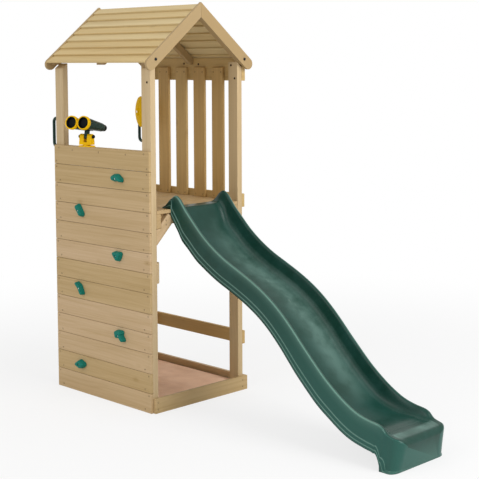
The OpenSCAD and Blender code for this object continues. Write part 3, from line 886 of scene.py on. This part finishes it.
class TowerSlide(bpy.types.Operator):
    """Builds the moulded slide as one skin with its wall thickness"""

    bl_idname = "play_tower.slide"
    bl_label = "Slide"

    def plastic(self, colour):
        s = Shade("slide plastic")
        place = s.place()
        wear_and_painted_reflection = Value(s, s.attribute("wear_and_painted_reflection"))
        ridge = Value(s, s.attribute("ridge"))
        cloud = s.noise(place, scale=3.4, detail=3)
        small = s.noise(place, scale=18.0, detail=3)
        streak = s.noise(s.scaled(place, (46, 16, 16)), scale=1.0, detail=4, roughness=0.75)
        grit = s.noise(place, scale=300.0, detail=2)
        out = Value(s, s.node("ShaderNodeSeparateXYZ", {}, {0: place}).outputs[1])
        down = (0.3 - out).step(0.2, 1.5) * Value(s, s.attribute("outer"))
        base = s.mix(down * 0.75, colour, srgb("2C5E54"))
        body = s.mix((cloud * 0.7 + small * 0.3).step(0.4, 0.7) * 0.4, base, srgb("24504A"))
        # Pale patches along the bed and on the pad: partly real wear and polish, partly painted
        # reflection of the bright sky.
        polish_and_painted_reflection = ((cloud * 0.65 + small * 0.35).step(0.36, 0.62) * 0.6 + 0.4) * wear_and_painted_reflection
        body = s.mix(polish_and_painted_reflection * 0.5, body, srgb("7C9C92"))
        scuff = (streak * 0.7 + small * 0.3).step(0.6, 0.74) * wear_and_painted_reflection.step(0.55, 1.0)
        body = s.mix(scuff * 0.55, body, srgb("A9BFB6"))
        # Painted highlight along the lip's outer edge and along the skirt's two ribs.
        body = s.mix(ridge * 0.55, body, srgb("7FA596"))
        s.bump(cloud * 1.2 + small * 0.3 + grit * 0.04, 0.2, 0.004)
        s.shader.inputs["Specular IOR Level"].default_value = 0.26
        return s.finish(base_color=body, roughness=0.26 + small * 0.12 + wear_and_painted_reflection * 0.12)

    def execute(self, context):
        p = context.scene.plastic
        lo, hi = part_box("slide")
        width = (hi.x - lo.x) / MM
        stations = slide_stations()
        halves = [slide_section(x, width, 4) for x in stations]
        columns = 2 * len(halves[0]) - 1
        rows = len(stations)
        middle = len(halves[0]) - 1
        bm = bmesh.new()
        bmesh.ops.create_grid(bm, x_segments=columns - 1, y_segments=rows - 1, size=0.5)
        wear_and_painted_reflection = bm.verts.layers.float.new("wear_and_painted_reflection")
        ridge = bm.verts.layers.float.new("ridge")
        outer = bm.verts.layers.float.new("outer")
        front = {}
        for v in bm.verts:
            c = round((v.co.x + 0.5) * (columns - 1)) - middle
            r = rows - 1 - round((v.co.y + 0.5) * (rows - 1))
            out = stations[r]
            across, z, v[ridge] = halves[r][abs(c)]
            if c < 0:
                across = -across
            ahead = max(0.0, (out - FOOT_BACK) / (SLIDE_REACH - FOOT_BACK))
            lean = NOSE_LEAN * ahead ** 2 * (1 - min(1.0, z / NOSE_HEIGHT))
            v.co = spot(across, -HALF_D - out + lean, z)
            # Partly wear, partly painted reflection: a pale band along the middle of the bed, and a
            # painted reflection on the pad at the foot.
            side = math.exp(-(((across - 78) / 78) ** 2)) if abs(c) <= 20 else 0.0
            bed_wear_and_reflection = side * max(0.0, 1 - abs((out - 660) / 620) ** 3)
            pad_painted_reflection = max(0.0, 1 - abs((out - 1640) / 34) ** 3) if abs(c) <= 20 else 0.0
            v[wear_and_painted_reflection] = max(bed_wear_and_reflection, pad_painted_reflection)
            v[outer] = 1.0 if abs(c) >= 38 else 0.0
            if r == rows - 1:
                front[c] = v
        rim = [front[c] for c in sorted(front)]
        bm.edges.new((rim[0], rim[-1]))
        loop = [e for e in bm.edges if e.is_boundary or not e.link_faces]
        loop = [e for e in loop if all(v in rim for v in e.verts)]
        cap = bmesh.ops.contextual_create(bm, geom=loop)["faces"]
        bmesh.ops.recalc_face_normals(bm, faces=bm.faces)
        if sum(f.normal.z for f in bm.faces if abs(f.calc_center_median().x - TOWER.x) < 0.05) < 0:
            bmesh.ops.reverse_faces(bm, faces=bm.faces)
        bmesh.ops.inset_region(bm, faces=cap, thickness=0.006, use_even_offset=True)
        made = new_object("slide_shell", bm, self.plastic(tuple(p.slide)), angle=60)
        add_modifier(
            made, "SOLIDIFY", thickness=p.wall, offset=-1, use_even_offset=False, use_rim=True
        )
        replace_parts(made, "slide")
        return {"FINISHED"}


# Play fittings

# Millimetres along the wall and up, of the bolt of each hold
HOLD_BOLTS = ((-178, 1388), (190, 1163), (-176, 917), (196, 672), (-188, 432), (206, 184))
HOLD_PROUD = 36
WHEEL_HUB = (HALF_W - 40, HALF_D - 60, 1749)
WHEEL_TURN = 157
WHEEL_R = 103
SWIVEL = (WALL_FACE + 28, 160, WALL_TOP + 63)
SWIVEL_TURN = 198
TILT = 11
AXIS_RISE = 70
EYE_GAP = 88


def tube(path, radius, steps=24):
    """A closed round bar through the points of a path."""
    bm = bmesh.new()
    rings = []
    last = len(path) - 1
    for i, point in enumerate(path):
        along = path[min(i + 1, last)] - path[max(i - 1, 0)]
        place = Matrix.Translation(point) @ along.to_track_quat("Z", "X").to_matrix().to_4x4()
        made = bmesh.ops.create_circle(
            bm, segments=steps, radius=radius, cap_ends=i in (0, last), matrix=place
        )
        rings.append(set(made["verts"]))
    for pair in zip(rings, rings[1:]):
        edges = {
            e for ring in pair for v in ring for e in v.link_edges if e.other_vert(v) in ring
        }
        bmesh.ops.bridge_loops(bm, edges=list(edges))
    bmesh.ops.recalc_face_normals(bm, faces=bm.faces)
    return bm


class ClimbingHolds(bpy.types.Operator):
    """Builds the climbing holds, rounded and recessed round their bolts"""

    bl_idname = "play_tower.holds"
    bl_label = "Climbing holds"

    def execute(self, context):
        p = context.scene.plastic
        plastic = plastic_material("hold plastic", tuple(p.hold), rough=0.5, grit=0.4)
        zinc = metal_material("bolt zinc", (0.8, 0.8, 0.8), 0.25)
        for number, (y, z) in enumerate(HOLD_BOLTS, 1):
            node = "climbing_hold_%d" % number
            bm = bmesh.new()
            bm.from_mesh(NODES[node].data)
            bmesh.ops.remove_doubles(bm, verts=bm.verts, dist=1e-5)
            made = new_object(node + "_moulding", bm, plastic, angle=180)
            add_modifier(made, "REMESH", mode="VOXEL", voxel_size=0.0022, use_smooth_shade=True)
            add_modifier(made, "SMOOTH", factor=0.6, iterations=5)
            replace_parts(made, node)
            bolt = revolve(
                [(0, 0), (0, 3), (-1.5, 3.2), (-1.5, 5.2), (-0.6, 6), (4, 6), (4, 0)], 24
            )
            place = spot(WALL_FACE - HOLD_PROUD + 9, y, z)
            new_object("hold_bolt_%d" % number, moved(bolt, Matrix.Translation(place)), zinc)
        return {"FINISHED"}


class GrabHandles(bpy.types.Operator):
    """Builds the two bent handles beside the ladder"""

    bl_idname = "play_tower.handles"
    bl_label = "Grab handles"

    def execute(self, context):
        p = context.scene.plastic
        green = plastic_material("handle plastic", tuple(p.green), rough=0.35)
        for side in ("left", "right"):
            node = "grab_handle_" + side
            lo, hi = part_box(node)
            middle = (lo + hi) / 2
            bar = (hi.x - lo.x) / 2
            bend = 36 * MM - bar
            inner = Vector((middle.x, hi.y - bar - bend, middle.z))
            rise = (hi.z - lo.z) / 2 - bar - bend
            half = []
            for a in range(0, 91, 10):
                turn = math.radians(a)
                half.append(inner + Vector((
                    0, bend * math.sin(turn), rise + bend * math.cos(turn)
                )))
            foot = Vector((middle.x, lo.y + 0.0005, middle.z + rise + bend))
            half = [foot, *half]
            below = [Vector((v.x, v.y, 2 * middle.z - v.z)) for v in reversed(half)]
            bow = tube([*half, *below], p.handle_bar)
            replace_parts(new_object(node + "_bow", bow, green, angle=60), node)
        return {"FINISHED"}


class SteeringWheel(bpy.types.Operator):
    """Builds the domed steering wheel with its bracket and centre bolt"""

    bl_idname = "play_tower.wheel"
    bl_label = "Steering wheel"

    def execute(self, context):
        p = context.scene.plastic
        yellow = plastic_material(
            "wheel plastic", tuple(p.yellow), rough=0.5, mottle=0.1, gloss=0.04
        )
        green = plastic_material("bracket plastic", tuple(p.green), rough=0.35)
        zinc = metal_material("wheel zinc", (0.8, 0.8, 0.8), 0.25)
        turn = Matrix.Rotation(math.radians(WHEEL_TURN), 4, "Z")
        stand = Matrix.Translation(spot(*WHEEL_HUB)) @ turn
        r = WHEEL_R
        disc = revolve([
            (35.2, 6.4), (35.2, 19), (36, 20), (55, 22), (55.5, 24), (54, 50), (49, 76),
            (43, r - 14), (39.5, r - 9), (39.5, r - 5), (41.5, r - 1.5), (45, r),
            (48.5, r - 1), (51.5, r - 3.5), (54, r - 8), (56, r - 14), (58.6, 84), (61, 77),
            (63.8, 66), (66.2, 52), (68, 38), (69.2, 29), (70.5, 27.5), (73.2, 26.5),
            (74.6, 24.5), (75, 20), (75, 10), (74.6, 9), (66, 8.6), (65.5, 6.4),
        ], 96, closed=True)
        wheel = new_object("wheel_disc", moved(disc, stand), yellow, "wheel", 40)
        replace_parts(wheel, "steering_wheel")
        bolt = revolve(
            [(66.2, 0), (66.2, 8.2), (71, 8.2), (74.4, 7.6), (75.6, 5.5), (76, 3), (76, 0)], 24
        )
        new_object("wheel_bolt", moved(bolt, stand), zinc, "wheel", 40)
        eased_plastic("wheel_bracket", "wheel_bracket_moulding", green, 0.0015)
        return {"FINISHED"}


class Binoculars(bpy.types.Operator):
    """Builds the binoculars with their base, yoke, barrels, rings and lenses"""

    bl_idname = "play_tower.binoculars"
    bl_label = "Binoculars"

    def execute(self, context):
        p = context.scene.plastic
        yellow = plastic_material(
            "yoke plastic", tuple(p.yellow), rough=0.4, mottle=0.1, gloss=0.12
        )
        green = plastic_material("barrel plastic", tuple(p.green), rough=0.28)
        black = plastic_material(
            "black plastic", tuple(p.black), rough=0.4, mottle=0.0, gloss=0.12
        )
        glass = plastic_material(
            "dark lens", tuple(p.black), rough=0.35, mottle=0.0, grit=0.0, gloss=0.06
        )
        swivel = Matrix.Translation(spot(*SWIVEL)) @ Matrix.Rotation(
            math.radians(SWIVEL_TURN), 4, "Z"
        )
        tilt = swivel @ Matrix.Rotation(math.radians(-TILT), 4, "Y")
        pair = [Matrix.Translation(Vector((0, s * EYE_GAP / 2, AXIS_RISE)) * MM) for s in (-1, 1)]
        across = Matrix.Rotation(math.radians(90), 4, "Z")

        eased_plastic("binocular_base", "binocular_plate", yellow, 0.002)
        eased_plastic("binocular_yoke", "yoke_moulding", yellow, 0.003, "binocular_mount")

        barrel = [
            (-90, 0), (-90, 23.5), (-88, 25.6), (-82, 26.5), (-62, 27.8), (-36, 29.5),
            (-8, 31.3), (20, 33.1), (48, 34.9), (72, 36.5), (90, 37.6), (94, 37.2), (95, 36),
            (95, 0),
        ]
        ring = [
            (96, 33), (95, 35), (95, 41), (96.4, 42.6), (99, 43), (116, 43), (118.6, 42.2),
            (119.8, 40.8), (120, 39), (119.3, 37), (117.6, 35.6), (112, 34), (104, 33),
        ]
        hood = [
            (97, 34), (97, 31.5), (115, 32), (118, 33.4), (118.6, 34.4), (117.8, 35.2), (111, 34.6),
        ]
        lens = [(100, 0), (100, 32), (104, 32), (106.4, 26), (107.8, 17), (108.4, 8), (108.6, 0)]
        eyepiece = [
            (-90, 0), (-90, 20.4), (-92, 21), (-114, 21), (-118, 20.2), (-120, 18), (-119.6, 15.8),
            (-112, 14.4), (-106, 13.6), (-106, 0),
        ]

        def both(profile, closed=False):
            return join(*[
                moved(revolve(profile, 48, closed), tilt @ shift) for shift in pair
            ])

        body = join(
            both(barrel),
            moved(block((110, 60, 30), (-5, 0, AXIS_RISE + 3), 11, 5), tilt),
        )
        barrels = new_object("barrel_mouldings", body, green, "binoculars", 60)
        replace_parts(barrels, "binocular_barrels")
        rings = new_object("lens_rings", both(ring, True), yellow, "binoculars", 60)
        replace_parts(rings, "binocular_rings")
        new_object("lens_hoods", both(hood, True), black, "binoculars", 60)
        new_object("lenses", both(lens), glass, "binoculars", 60)
        eyes = new_object("eyepiece_mouldings", both(eyepiece), black, "binoculars", 60)
        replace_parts(eyes, "binocular_eyepieces")

        knuckle = revolve([(-11, 0), (-11, 14.5), (-9.5, 16), (9.5, 16), (11, 14.5), (11, 0)], 40)
        axle = revolve([(-52, 0), (-52, 6), (52, 6), (52, 0)], 24)
        neck = block((31, 22, 52), (0, 0, 34), 4)
        frame_parts = join(
            moved(knuckle, tilt @ across), moved(axle, tilt @ across), moved(neck, tilt),
        )
        mount = new_object("binocular_neck", frame_parts, green, "binoculars", 50)
        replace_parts(mount, "binocular_frame")
        knob = [(44.5, 0), (44.5, 10), (46, 11), (52.5, 11), (55, 10), (56, 7.5), (56, 0)]
        knobs = join(*[
            moved(revolve(knob, 28), tilt @ Matrix.Rotation(math.radians(a), 4, "Z"))
            for a in (90, -90)
        ])
        new_object("tilt_knobs", knobs, black, "binoculars", 50)
        return {"FINISHED"}


class Fasteners(bpy.types.Operator):
    """Builds the screws of the boards and rails and the black bolt caps"""

    bl_idname = "play_tower.fasteners"
    bl_label = "Screws and bolts"

    def execute(self, context):
        p = context.scene.plastic
        black = plastic_material("cap plastic", tuple(p.black), rough=0.35, mottle=0.0)
        brown = metal_material("screw steel", srgb("3C2E20"), 0.5)
        screw = [(-1, 5), (0.25, 4.8), (0.4, 4.2), (-0.3, 2.4), (-0.6, 0)]
        bolt = [(-1, 7), (0.4, 7), (1.6, 6.2), (2.4, 4.6), (2.4, 3), (1.2, 2.6), (1.0, 0)]

        west, south = (-1, 0, 0), (0, -1, 0)
        wall = []
        for i in range(BOARD_COUNT):
            low, high = i * 120, (i + 1) * 120
            top = i == BOARD_COUNT - 1
            for side in (-1, 1):
                wall.append((spot(WALL_FACE, side * (HALF_D - (48 if top else 22)), high - 16), west))
                wall.append((spot(WALL_FACE, side * (HALF_D - (20 if top else 56)), low + 20), west))
        wall += [(spot(WALL_FACE, y, WALL_TOP - 26), west) for y in (272, 10, -248)]
        heads("wall_screws", screw, wall, brown)

        room = 2 * HALF_D - 160
        pitch = 100 + (room - 400) / 5
        rails = []
        for i in range(4):
            middle = -room / 2 + (room - 400) / 5 + 50 + i * pitch
            for side in (-34, 34):
                for z in (2016, DECK_TOP + 16):
                    rails.append((spot(HALF_W - 20, middle + side, z), west))
        for y in (-HALF_D + 24, HALF_D - 24):
            for z in (1190, 1232, 314, 356, 24, 66):
                rails.append((spot(HALF_W + 22, y, z), (1, 0, 0)))
        for x in (-HALF_W + 20, HALF_W - 20):
            for z in (24, 66):
                rails.append((spot(x, -HALF_D - 20, z), south))
                rails.append((spot(x, HALF_D + 20, z), (0, 1, 0)))
        rails += [(spot(x, -HALF_D, z), south) for x in (-262, 262) for z in (1122, 1148)]
        heads("rail_screws", screw, rails, brown)

        bolts = [
            (spot(-HALF_W, -432, 1963), west),
            (spot(HALF_W - 40, -405, 2059), west),
            (spot(HALF_W - 40, -437, 1978), west),
            (spot(HALF_W - 40, 405, 2059), west),
            (spot(HALF_W, 73, 2069), west),
            (spot(HALF_W, -65, 2065), west),
        ]
        heads("post_bolts", bolt, bolts, brown, 20)

        bm = cad_copy("bolt_caps")
        cap = [(-1, 0), (-1, 9.4), (1.2, 9.4), (3.4, 8.2), (4.6, 5.6), (4.9, 2.8), (4.9, 0)]
        places = []
        for group in islands(bm):
            centre = sum((v.co for v in group), Vector()) / len(group)
            side = 1 if centre.y > TOWER.y else -1
            centre.y -= side * 2.5 * MM
            places.append((centre, (0, side, 0)))
        bm.free()
        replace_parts(heads("bolt_caps_domed", cap, places, black, 32), "bolt_caps")
        return {"FINISHED"}


PIECES = (
    TowerStage, TowerPosts, TowerDeck, TowerWall, TowerSlats, TowerRoof, TowerSand, TowerSlide,
    ClimbingHolds, GrabHandles, SteeringWheel, Binoculars, Fasteners,
)
GROUPS = {
    "timber": TimberProperties, "plastic": PlasticProperties, "stage": StageProperties,
}


class TowerPanel(bpy.types.Panel):
    """Lists the pieces of the tower with their sizes and colours"""

    bl_idname = "VIEW3D_PT_play_tower"
    bl_label = "Play tower"
    bl_space_type = "VIEW_3D"
    bl_region_type = "UI"
    bl_category = "Play tower"

    def draw(self, context):
        for name in GROUPS:
            group = getattr(context.scene, name)
            for key in group.__annotations__:
                self.layout.prop(group, key)
        for piece in PIECES:
            self.layout.operator(piece.bl_idname)


def register():
    for name, group in GROUPS.items():
        bpy.utils.register_class(group)
        setattr(bpy.types.Scene, name, bpy.props.PointerProperty(type=group))
    for made in (*PIECES, TowerPanel):
        bpy.utils.register_class(made)


def unregister():
    for made in (TowerPanel, *reversed(PIECES)):
        bpy.utils.unregister_class(made)
    for name, group in GROUPS.items():
        delattr(bpy.types.Scene, name)
        bpy.utils.unregister_class(group)


def main():
    register()
    for piece in PIECES:
        getattr(bpy.ops.play_tower, piece.bl_idname.split(".")[1])()


if __name__ == "__main__":
    main()
